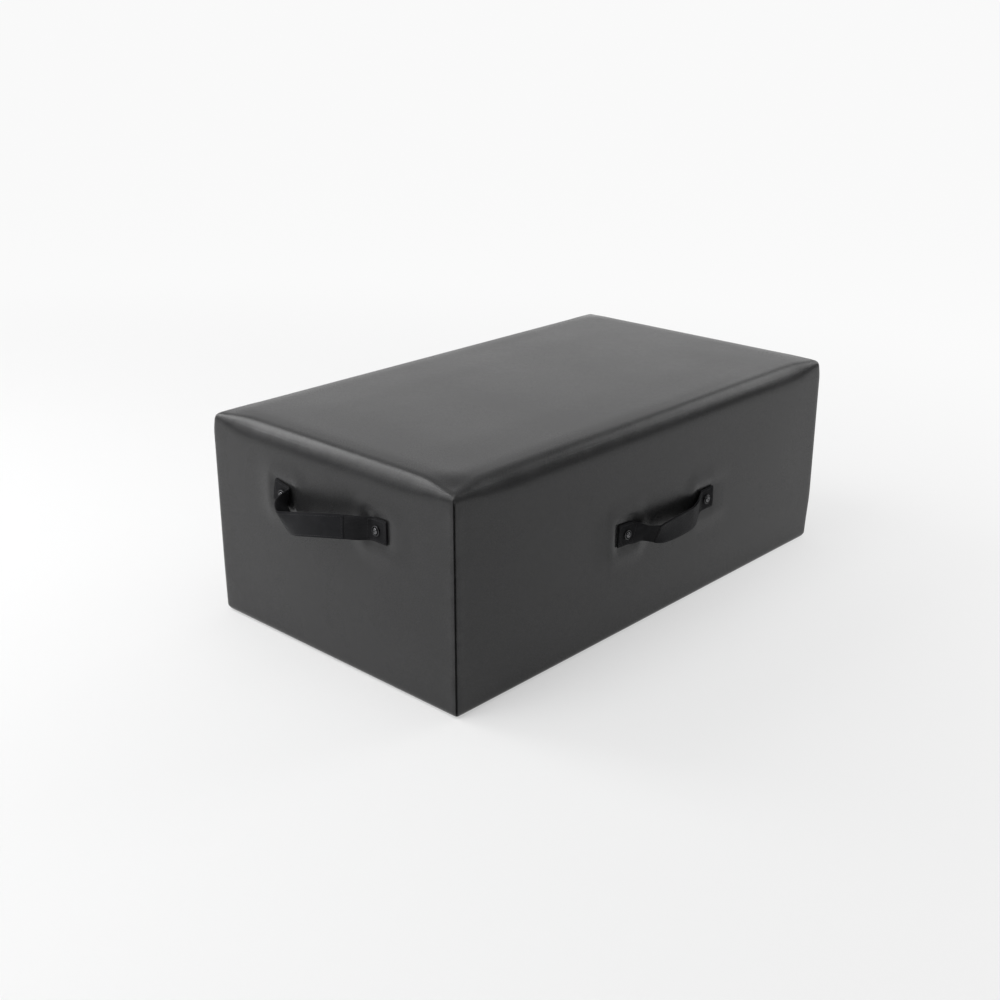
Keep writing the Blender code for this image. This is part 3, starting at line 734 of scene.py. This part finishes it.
def cover_point(point):
    """Moves a point of the square box onto the padded cover."""
    x, y, z = point
    ex = HALF_X - abs(x)
    ey = HALF_Y - abs(y)

    # How far out in the band by the walls, from 0 to 1, along x, along y and in all
    u = max(0.0, 1 - ex / BAND)
    v = max(0.0, 1 - ey / BAND)
    shell = max(u, v)
    on_wall = shell > 0.9999

    # The rim and the foot are rounded, and the corners as seen from above
    top = HEIGHT - z
    if z > HEIGHT / 2:
        away = ease(max(ex, ey) / RIM_CORNER_REACH)
        radius = mix(RIM_CORNER_RADIUS, RIM_RADIUS, away)
        depth = mix(RIM_CORNER_DEPTH, RIM_DEPTH, away)
        power = mix(RIM_CORNER_POWER, RIM_POWER, away)
        inward, top = rounded((1 - shell) * BAND, top, radius, depth, power)
        new_z = HEIGHT - top
    else:
        inward, new_z = rounded((1 - shell) * BAND, z, FOOT_RADIUS, FOOT_RADIUS, FOOT_POWER)
    if shell > 0:
        plan = mix(PLAN_POWER, SEAM_POWER, shell)
        scale = (1 - inward / BAND) / (u ** plan + v ** plan) ** (1 / plan)
        u *= scale
        v *= scale
    new_x = math.copysign(HALF_X - BAND + BAND * u if u > 0 else abs(x), x)
    new_y = math.copysign(HALF_Y - BAND + BAND * v if v > 0 else abs(y), y)

    # On the walls: the groove of a corner seam with a shallow fold beside it, the swell
    # of the padding, and the screwed tabs that press it in
    seam = max(ex, ey)
    if on_wall:
        depth = GROOVE_DEPTH * hump(seam, GROOVE_WIDTH)
        depth -= SEAM_FOLD * hump(seam - SEAM_FOLD_PLACE, SEAM_FOLD_WIDTH)
        depth = abs(depth) * ease((HEIGHT - z - GROOVE_TOP) / GROOVE_FADE) * GROOVE_SHARE
        new_x -= math.copysign(depth, x)
        new_y -= math.copysign(depth, y)
        swell = WALL_SWELL * ease(seam / WALL_SWELL_REACH)
        swell *= ease(z / HEIGHT * 2) * ease((HEIGHT - z) / HEIGHT * 2)
        swell += RIPPLE * noise.noise(Vector((x, y, z)) / RIPPLE_LENGTH) * ease(seam / WALL_RIPPLE_REACH)
        off = off_tabs(x, y, z)
        swell += TAB_SWELL * (1 - ease((off - TAB_SWELL_START) / TAB_SWELL_FALL))
        swell *= ease(off / TAB_PRESS_REACH)
        if ex < ey:
            new_x += math.copysign(swell, x)
        else:
            new_y += math.copysign(swell, y)

    # The hem pulls the foot in
    pull = mix(*FOOT_PULLS, ease(x / (2 * HALF_X) + 0.5)) * (1 - ease(z / FOOT_PULL_HEIGHT))
    new_x -= math.copysign(pull * max(0.0, 1 - ex / HEM), x)
    new_y -= math.copysign(pull * max(0.0, 1 - ey / HEM), y)

    # The top's crown, and the soft shoulders above and below the rim
    if top < RIM_RADIUS and not on_wall:
        inner = [(edge - RIM_RADIUS) / (CROWN_REACH - RIM_RADIUS) for edge in (ex, ey)]
        new_z += CROWN * ease(inner[0]) * ease(inner[1])
        ripple = RIPPLE * noise.noise(Vector((x, y, 1.0)) / RIPPLE_LENGTH)
        new_z += ripple * ease(min(ex, ey) / TOP_RIPPLE_REACH)
    near_top = ease((new_z - HEIGHT + TOP_SHOULDER_START) / TOP_SHOULDER_RISE)
    flat = ease((HALF_X - abs(new_x)) / TOP_SHOULDER_REACH)
    flat *= ease((HALF_Y - abs(new_y)) / TOP_SHOULDER_REACH)
    new_z -= TOP_SHOULDER * (1 - flat) * near_top
    lean = WALL_SHOULDER * (1 - ease((HEIGHT - new_z) / WALL_SHOULDER_REACH))
    new_x -= math.copysign(lean * (1 - ease((HALF_X - abs(new_x)) / HEM)), x)
    new_y -= math.copysign(lean * (1 - ease((HALF_Y - abs(new_y)) / HEM)), y)

    # The top's corners sink, and under the box the bottom lies above the hem
    near = ease(0.5 - x / (2 * HALF_X)) * ease(0.5 - y / (2 * HALF_Y))
    dip = mix(*CORNER_DIPS, near) * (1 - ease(math.hypot(ex, ey) / CORNER_DIP_REACH))
    new_z -= dip * ease((z - HEIGHT + CORNER_DIP_DEPTH) / CORNER_DIP_DEPTH)
    if z < UNDERSIDE and min(ex, ey) > HEM:
        new_z += HEM_RECESS
    return Vector((new_x, new_y, new_z))


def seam_place(point):
    """How far a point of the square box is from the nearest corner seam, which places the seams' painted
    shade.
    """
    if point.z > HEIGHT - SEAM_SHADE_TOP or point.z < UNDERSIDE:
        return 1.0
    return max(HALF_X - abs(point.x), HALF_Y - abs(point.y))


def rim_place(point):
    """How far a point of the square box is from the nearest of its edges."""
    gaps = sorted((HALF_X - abs(point.x), HALF_Y - abs(point.y), HEIGHT - point.z))
    return gaps[1]


def keep_on_points(piece, name, values):
    """Keeps a value for each point, which the piece's look reads by this name."""
    kept = piece.data.attributes.new(name, "FLOAT", "POINT")
    kept.data.foreach_set("value", values)


def make_cover():
    """The vinyl cover over its padding, as one piece."""
    cover = ruled_box("cover", (wall_ruling(HALF_X), wall_ruling(HALF_Y), height_ruling()))
    marks = [vert.co.copy() for vert in cover.data.vertices]
    for vert, mark in zip(cover.data.vertices, marks):
        vert.co = cover_point(mark)
    # The seam value masks painted shade along the grooves of the corner seams
    keep_on_points(cover, "seam", [hump(seam_place(mark), SEAM_SHADE_WIDTH) for mark in marks])
    keep_on_points(cover, "edge", [max(0.0, 1 - rim_place(mark) / RIM_RADIUS) for mark in marks])
    smooth(cover, 50)
    dress(cover, VINYL)
    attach(cover, "box")
    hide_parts("vinyl_cover", "top_foam_pad", *[f"{side}_foam_pad" for side in HANDLES])


# Straps

class Strap:
    """The middle line of a strap on its wall, and the flat of the webbing along it."""

    def __init__(self, handle, run):
        half = SCREW_SPACING / 2
        reach = handle["reach"] - TAB_MIDDLE
        rows = [(place * half, TAB_MIDDLE + out * reach, -down * handle["droop"], math.radians(lean))
                for place, out, down, lean in run]
        slope = (rows[1][2] - rows[0][2]) / (rows[1][0] - rows[0][0])
        rows.insert(0, (-half - TAB_END, TAB_MIDDLE, -slope * TAB_END, 0.0))
        rows.append((half + TAB_END, TAB_MIDDLE, rows[-1][2], 0.0))
        self.points = []
        self.leans = []
        for along, out, up, lean in smooth_curve(rows):
            out = max(out, TAB_MIDDLE)
            most = math.asin(min(1.0, (out - TAB_MIDDLE) / (WEB_WIDTH / 2)))
            self.points.append(Vector((along, -out, up)))
            self.leans.append(min(max(lean, -most), most))
        self.places = [0.0]
        for a, b in zip(self.points, self.points[1:]):
            self.places.append(self.places[-1] + (b - a).length)
        self.length = self.places[-1]

    def at(self, place):
        """The point at this distance along the strap, the direction across the webbing
        from its bottom edge to its top edge, and the direction out of its face."""
        place = min(max(place, 0.0), self.length)
        i = 0
        while i < len(self.places) - 2 and self.places[i + 1] < place:
            i += 1
        share = (place - self.places[i]) / (self.places[i + 1] - self.places[i])
        point = self.points[i].lerp(self.points[i + 1], share)
        lean = mix(self.leans[i], self.leans[i + 1], share)
        along = (self.points[min(i + 2, len(self.points) - 1)] - self.points[max(i - 1, 0)]).normalized()
        flat = Vector((-along.z, 0.0, along.x)).normalized()
        across = flat * math.cos(lean) + along.cross(flat) * math.sin(lean)
        return point, across, along.cross(across)


def smooth_curve(rows):
    """A smooth curve through all the rows, by cubic pieces."""
    reach = [0.0]
    for a, b in zip(rows, rows[1:]):
        reach.append(reach[-1] + (Vector(b[:3]) - Vector(a[:3])).length)
    slopes = []
    for i in range(len(rows)):
        low, high = max(i - 1, 0), min(i + 1, len(rows) - 1)
        slopes.append([(rows[high][k] - rows[low][k]) / (reach[high] - reach[low]) for k in range(4)])
    curve = []
    for i in range(len(rows) - 1):
        span = reach[i + 1] - reach[i]
        for step in range(CURVE_STEPS):
            t = step / CURVE_STEPS
            weights = (2 * t**3 - 3 * t**2 + 1, (t**3 - 2 * t**2 + t) * span,
                       3 * t**2 - 2 * t**3, (t**3 - t**2) * span)
            parts = (rows[i], slopes[i], rows[i + 1], slopes[i + 1])
            curve.append([sum(w * part[k] for w, part in zip(weights, parts)) for k in range(4)])
    curve.append(list(rows[-1]))
    return curve


def lay_along(piece, strap, width, thickness, lift, edge_power):
    """Lays a straight bar along the strap. The bar's x is the distance along the strap,
    and its y and z run from -0.5 to 0.5. Its edges thin out to rounds."""
    layer = piece.data.uv_layers.new(name="along")
    for loop in piece.data.loops:
        co = piece.data.vertices[loop.vertex_index].co
        layer.data[loop.index].uv = (co.x, co.y * width)
    for vert in piece.data.vertices:
        point, across, out = strap.at(vert.co.x)
        thin = mix(EDGE_THICKNESS, 1.0, 1 - abs(vert.co.y * 2) ** edge_power)
        vert.co = point + across * (vert.co.y * width) + out * (vert.co.z * thickness * thin + lift)


def place_on_wall(piece, name):
    """Moves a piece made round this handle's middle onto its wall."""
    handle, _, turn, wall = HANDLES[name]
    spot = Matrix.Rotation(turn, 4, "Z") @ Matrix.Translation((handle["shift"], -wall, handle["height"]))
    piece.data.transform(spot)


def hang_on_wall(piece, name):
    """Moves it there, and bakes the move into its mesh."""
    place_on_wall(piece, name)
    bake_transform(piece)


def make_strap(name):
    """The whole strap of a handle, from tab to tab. Gives its middle line."""
    handle, run, _, _ = HANDLES[name]
    strap = Strap(handle, run)
    places = [*STRAP_ENDS, *steps(STRAP_STEP, strap.length - STRAP_STEP, STRAP_STEP)]
    places += [strap.length - end for end in reversed(STRAP_ENDS)]
    piece = ruled_box(f"{name}_handle_strap", (places, ACROSS, (-0.5, 0.5)))
    lay_along(piece, strap, WEB_WIDTH, WEB_T, 0.0, STRAP_EDGE_POWER)
    smooth(piece, 60)
    dress(piece, WEBBING)
    hang_on_wall(piece, name)
    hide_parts(*[f"{name}_handle_{part}" for part in ("strap_left", "grip", "strap_right")])
    return strap


def label_ends(name, strap):
    return [strap.length / 2 + place for place in HANDLES[name][0]["label"]]


def make_label(name, strap):
    """The bare strip sewn over the middle of a strap."""
    start, end = label_ends(name, strap)
    piece = ruled_box(f"{name}_handle_label", (steps(start, end, STRAP_STEP), ACROSS, (-0.5, 0.5)))
    lift = (WEB_T + LABEL_T) / 2 + GAP / 3
    lay_along(piece, strap, WEB_WIDTH - 2 * LABEL_INSET, LABEL_T, lift, LABEL_EDGE_POWER)
    smooth(piece, 60)
    dress(piece, LABEL)
    hang_on_wall(piece, name)
    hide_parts(f"{name}_handle_label")


# Stitches

def make_stitch():
    """One stitch, lying along x, its sides low and its ends narrow and sunk."""
    deselect()
    bpy.ops.mesh.primitive_cube_add(size=1.0)
    stitch = bpy.context.object
    bpy.ops.object.mode_set(mode="EDIT")
    bpy.ops.mesh.subdivide(number_cuts=2)
    bpy.ops.object.mode_set(mode="OBJECT")
    for vert in stitch.data.vertices:
        x, y, z = vert.co
        if abs(y) > 0.4:
            z *= STITCH_SIDE_HEIGHT
        if abs(x) > 0.4:
            y *= STITCH_END_WIDTH
            z -= STITCH_END_SINK
        vert.co = (x * STITCH_LENGTH, y * STITCH_WIDTH, z * STITCH_HEIGHT)
    stitch.data.shade_smooth()
    return stitch


def sewn_line(start, end):
    """Stitches from start to end, both (along, across, lift), each with its middle and
    its direction."""
    start, end = Vector(start), Vector(end)
    count = max(1, round((end - start).length / STITCH_STEP))
    return [(start.lerp(end, (i + 0.5) / count), (end - start).normalized()) for i in range(count)]


def frame_lines(left, right, half_width, lift):
    """Four lines of stitches round an oblong of the webbing."""
    corners = [(left, -half_width), (right, -half_width), (right, half_width), (left, half_width)]
    lines = []
    for a, b in zip(corners, corners[1:] + corners[:1]):
        lines += sewn_line((*a, lift), (*b, lift))
    return lines


def make_stitches(name, strap, stitch):
    """The stitches round the label and round both screwed tabs."""
    face = WEB_T / 2 + STITCH_LIFT
    start, end = label_ends(name, strap)
    wide = WEB_WIDTH / 2 - STITCH_EDGE_INSET
    tab = 2 * TAB_END - STITCH_TAB_SHORT
    sewn = frame_lines(start + STITCH_LABEL_INSET, end - STITCH_LABEL_INSET, wide - LABEL_INSET / 2,
                       face + LABEL_T)
    sewn += frame_lines(STITCH_TAB_INSET, tab, wide, face)
    sewn += frame_lines(strap.length - tab, strap.length - STITCH_TAB_INSET, wide, face)
    spots = []
    for middle, way in sewn:
        point, across, out = strap.at(middle.x)
        ahead = across.cross(out) * way.x + across * way.y
        facing = Matrix((ahead, out.cross(ahead), out)).transposed().to_4x4()
        spots.append(Matrix.Translation(point + across * middle.y + out * middle.z) @ facing)
    piece = copies(f"{name}_handle_stitches", stitch, spots)
    piece.data.shade_smooth()
    dress(piece, THREAD)
    hang_on_wall(piece, name)


# Screws and cup washers

def turned(name, profile, count=40, closed=False):
    """A turned piece: a ring of points pulled through each (radius, height) of the
    profile. Its ends are filled, or joined up where the profile is closed."""
    deselect()
    radius, height = profile[0]
    bpy.ops.mesh.primitive_circle_add(vertices=count, radius=radius, location=(0, 0, height))
    piece = bpy.context.object
    piece.name = name
    piece.data.name = name
    bpy.ops.object.transform_apply(location=True)
    bpy.ops.object.mode_set(mode="EDIT")
    bpy.ops.mesh.select_all(action="SELECT")
    for radius, height in profile[1:]:
        bpy.ops.mesh.extrude_region_move()
        bm = bmesh.from_edit_mesh(piece.data)
        for vert in bm.verts:
            if vert.select:
                flat = Vector((vert.co.x, vert.co.y, 0)).normalized() * radius
                vert.co = (flat.x, flat.y, height)
        bmesh.update_edit_mesh(piece.data)
    bpy.ops.mesh.select_all(action="SELECT")
    if closed:
        bpy.ops.mesh.remove_doubles(threshold=1e-6)
    else:
        bpy.ops.mesh.select_all(action="DESELECT")
        bpy.ops.mesh.select_non_manifold()
        bpy.ops.mesh.fill_holes(sides=0)
    bpy.ops.mesh.select_all(action="SELECT")
    bpy.ops.mesh.normals_make_consistent(inside=False)
    bpy.ops.object.mode_set(mode="OBJECT")
    return piece


def make_screw():
    """A pan head screw along -z, its seat at z = 0, with a cross recess."""
    profile = [(SHANK_RADIUS * 0.6, SHANK_END), (SHANK_RADIUS, SHANK_END + SHANK_TIP),
               (SHANK_RADIUS, HEAD_BOTTOM), (HEAD_RADIUS - 0.15 * MM, HEAD_BOTTOM),
               (HEAD_RADIUS, HEAD_CORNER), (HEAD_RADIUS, HEAD_SIDE)]
    for step in range(1, HEAD_STEPS):
        turn = step / HEAD_STEPS * math.pi / 2
        radius = HEAD_RADIUS * math.cos(turn) ** HEAD_FULLNESS
        profile.append((radius, mix(HEAD_SIDE, HEAD_CROWN, math.sin(turn))))
    screw = turned("screw", profile)
    for turn in (0, math.pi / 2):
        deselect()
        bpy.ops.mesh.primitive_cube_add(size=1.0, location=(0, 0, HEAD_CROWN),
                                        rotation=(0, 0, turn + math.pi / 4), scale=RECESS)
        slot = bpy.context.object
        cut = screw.modifiers.new("recess", "BOOLEAN")
        cut.object = slot
        cut.solver = "EXACT"
        bpy.context.view_layer.objects.active = screw
        bpy.ops.object.modifier_apply(modifier="recess")
        bpy.data.objects.remove(slot)
    smooth(screw, 35)
    return screw


def make_washer():
    """A cup washer: a rolled edge, a sunk seat and the hole in it."""
    hole = SHANK_RADIUS + HOLE_PLAY
    profile = [(hole, 0.0), (WASHER_RADIUS - 0.6 * MM, 0.0), (WASHER_RADIUS - 0.15 * MM, 0.25 * MM)]
    for step in range(7):
        turn = -0.3 + step / 6 * (math.pi + 0.5)
        profile.append((WASHER_RADIUS - WASHER_ROLL + WASHER_ROLL * math.cos(turn),
                        WASHER_HEIGHT - WASHER_ROLL + WASHER_ROLL * math.sin(turn)))
    profile += [(HEAD_RADIUS + 0.75 * MM, 0.85 * MM), (HEAD_RADIUS + 0.5 * MM, 0.5 * MM),
                (hole, WASHER_FLOOR), (hole, 0.0)]
    washer = turned("washer", profile, 48, closed=True)
    smooth(washer, 35)
    return washer


def fasten(master, kind, name, side, sign, lift, spin, look):
    """A copy of the master, with its own mesh, at one screw of a handle."""
    piece = add_object(f"{name}_handle_bright_{kind}_{side}", master.data.copy())
    piece.data.name = piece.name
    out = Matrix.Rotation(math.pi / 2, 4, "X") @ Matrix.Rotation(spin, 4, "Z")
    piece.data.transform(Matrix.Translation((sign * SCREW_SPACING / 2, -lift, 0)) @ out)
    place_on_wall(piece, name)
    dress(piece, look)
    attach(piece, "box")
    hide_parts(f"{name}_handle_{kind}_{side}")


# Underside

def make_base_cloth():
    """The non-slip cloth under the box, its edge turned in and held by staples."""
    low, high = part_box("base_cloth")
    inner, outer = CLOTH_EDGE_LOOPS
    columns, rows = [both_ways(steps(0.0, half - inner, CLOTH_STEP) + [half - outer, half])
                     for half in (high.x, high.y)]
    cloth = ruled_box("under_cloth", (columns, rows, CLOTH_Z))
    for vert in cloth.data.vertices:
        edge = min(high.x - abs(vert.co.x), high.y - abs(vert.co.y))
        if edge < outer / 2:
            vert.co.z = mix(vert.co.z, CLOTH_EDGE_Z, CLOTH_EDGE_SHARE)
        puff = CLOTH_PUFF * noise.noise(vert.co * CLOTH_PUFFS_PER_METRE)
        vert.co.z += puff * ease(edge / CLOTH_PUFF_REACH)
    smooth(cloth, 50)
    dress(cloth, BASE_CLOTH)
    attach(cloth, "box")
    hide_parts("base_cloth")
    return low, high


def make_staples(low, high):
    """Staples inside the edges of the cloth between these two corners."""
    deselect()
    bpy.ops.mesh.primitive_cube_add(size=1.0)
    wire = bpy.context.object
    bpy.ops.object.mode_set(mode="EDIT")
    bpy.ops.mesh.bevel(offset=STAPLE_ROUND, segments=2, affect="EDGES")
    bpy.ops.object.mode_set(mode="OBJECT")
    for vert in wire.data.vertices:
        vert.co *= Vector(STAPLE_SIZE)
    x_start, y_start = STAPLE_STARTS
    spots = []
    for x in steps(low.x + x_start, high.x - x_start, STAPLE_STEP):
        spots += [(x, y, 0.0) for y in (low.y + STAPLE_INSET, high.y - STAPLE_INSET)]
    for y in steps(low.y + y_start, high.y - y_start, STAPLE_STEP):
        spots += [(x, y, math.pi / 2) for x in (low.x + STAPLE_INSET, high.x - STAPLE_INSET)]
    tilts = [math.radians(STAPLE_TILT * math.sin(i * STAPLE_TILT_CHANGE)) for i in range(len(spots))]
    piece = copies("staples", wire, [
        Matrix.Translation((x, y, STAPLE_Z)) @ Matrix.Rotation(turn + tilt, 4, "Z")
        for (x, y, turn), tilt in zip(spots, tilts)])
    bpy.data.objects.remove(wire)
    smooth(piece, 40)
    dress(piece, ZINC)
    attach(piece, "box")


def dress_inside():
    """The boards, blocks and tee nuts inside keep their own shapes."""
    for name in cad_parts:
        if name.endswith(("_board", "_rib")):
            dress(bpy.data.objects[name], PLYWOOD)
        elif name.endswith("_block"):
            dress(bpy.data.objects[name], PINE)
        elif "tee_nut" in name:
            dress(bpy.data.objects[name], ZINC)


# Camera, floor and light

def make_camera():
    data = bpy.data.cameras.new("photo_camera")
    camera = add_object("photo_camera", data)
    camera.location = CAMERA_PLACE
    camera.rotation_euler = (math.radians(90 - CAMERA_PITCH), 0.0, math.radians(CAMERA_YAW - 90))
    data.lens = CAMERA_LENS
    data.sensor_width = CAMERA_SENSOR
    data.clip_start = 0.01
    data.clip_end = 100.0
    bpy.context.scene.camera = camera


def make_floor():
    """A pale floor that runs on to the backdrop. It keeps the box's shadow."""
    deselect()
    bpy.ops.mesh.primitive_plane_add(size=FLOOR_SIZE)
    floor = bpy.context.object
    floor.name = "floor"
    look = Finish("pale_floor", 0.9, Specular_IOR_Level=0.0)
    slow = look.group(SLOW_CHANGE, Place=look.place, Size=1.5)
    look.paint(look.mixed(slow[0], *FLOOR_COLOURS))
    tree = look.tree
    rays = node(tree, "LightPath")
    seen = maths(tree, "MAXIMUM", rays.outputs["Is Camera Ray"], rays.outputs["Is Glossy Ray"])
    seen = maths(tree, "MAXIMUM", seen, rays.outputs["Is Transmission Ray"])
    glow = node(tree, "Emission", Color=FLOOR_GLOW, Strength=1.0)
    far = node(tree, "VectorMath", {"operation": "DISTANCE"}, input_0=look.place,
               input_1=FLOOR_GLOW_CENTRE)
    share = ramp(tree, far.outputs["Value"], *FLOOR_GLOW_REACH, FLOOR_GLOW_NEAR, FLOOR_GLOW_FAR)
    blend = node(tree, "MixShader")
    tree.links.new(maths(tree, "MULTIPLY", seen, share), blend.inputs[0])
    tree.links.new(look.shader.outputs[0], blend.inputs[1])
    tree.links.new(glow.outputs[0], blend.inputs[2])
    tree.links.new(blend.outputs[0], tree.nodes["Material Output"].inputs[0])
    floor.data.materials.append(look.material)


def add_softbox(name, azimuth, elevation, distance, size, radiance):
    """A softbox that faces the box and looks this bright."""
    yaw, pitch = math.radians(azimuth), math.radians(elevation)
    way = Vector((math.cos(pitch) * math.cos(yaw), math.cos(pitch) * math.sin(yaw), math.sin(pitch)))
    data = bpy.data.lights.new(name, "AREA")
    data.shape = "RECTANGLE"
    data.size, data.size_y = size
    data.energy = radiance * math.pi * size[0] * size[1]
    lamp = add_object(name, data)
    lamp.location = way * distance + SOFTBOX_AIM
    lamp.rotation_euler = (-way).to_track_quat("-Z", "Y").to_euler()


def make_studio():
    """Light from all round: a bright backdrop ahead of the camera, a dimmer ceiling,
    and a dim room behind the camera."""
    world = bpy.data.worlds.new("studio")
    bpy.context.scene.world = world
    world.use_nodes = True
    tree = world.node_tree
    way = node(tree, "TexCoord").outputs["Generated"]
    yaw = math.radians(BACKDROP_AZIMUTH)
    ahead = node(tree, "VectorMath", {"operation": "DOT_PRODUCT"}, input_0=way,
                 input_1=(math.cos(yaw), math.sin(yaw), 0.0)).outputs["Value"]
    height = node(tree, "SeparateXYZ", Vector=way).outputs[2]
    backdrop = maths(tree, "MULTIPLY", ramp(tree, ahead, *BACKDROP_SIDES),
                     ramp(tree, height, *BACKDROP_TOP, 1.0, 0.0))
    level = maths(tree, "MULTIPLY_ADD", backdrop, BACKDROP_LEVEL - ROOM_LEVEL, ROOM_LEVEL)
    ceiling = ramp(tree, height, *CEILING_RAMP, 0.0, CEILING_LEVEL - ROOM_LEVEL)
    level = maths(tree, "ADD", level, ceiling)
    rays = node(tree, "LightPath")
    direct = maths(tree, "MAXIMUM", rays.outputs["Is Camera Ray"], rays.outputs["Is Transmission Ray"])
    seen = node(tree, "Mix", {"data_type": "FLOAT"}, Factor=direct, A=level)
    seen.inputs["B"].default_value = PLAIN_LEVEL
    back = tree.nodes["Background"]
    tree.links.new(seen.outputs[0], back.inputs["Strength"])
    back.inputs["Color"].default_value = (1, 1, 1, 1)
    for softbox in SOFTBOXES:
        add_softbox(*softbox)
    bpy.context.scene.view_settings.view_transform = "Standard"


make_camera()
make_floor()
make_studio()
make_cover()
stitch = make_stitch()
screw = make_screw()
washer = make_washer()
for name in HANDLES:
    strap = make_strap(name)
    make_label(name, strap)
    make_stitches(name, strap, stitch)
    for side, sign in (("left", -1), ("right", 1)):
        spin = math.radians(SCREW_TURNS[name] + SCREW_TURNS_APART * sign)
        fasten(washer, "washer", name, side, sign, SCREW_SEAT, 0.0, BLACK_STEEL)
        fasten(screw, "screw", name, side, sign, SCREW_SEAT + HEAD_LIFT, spin, NICKEL)
for master in (stitch, screw, washer):
    bpy.data.objects.remove(master)
make_staples(*make_base_cloth())
dress_inside()
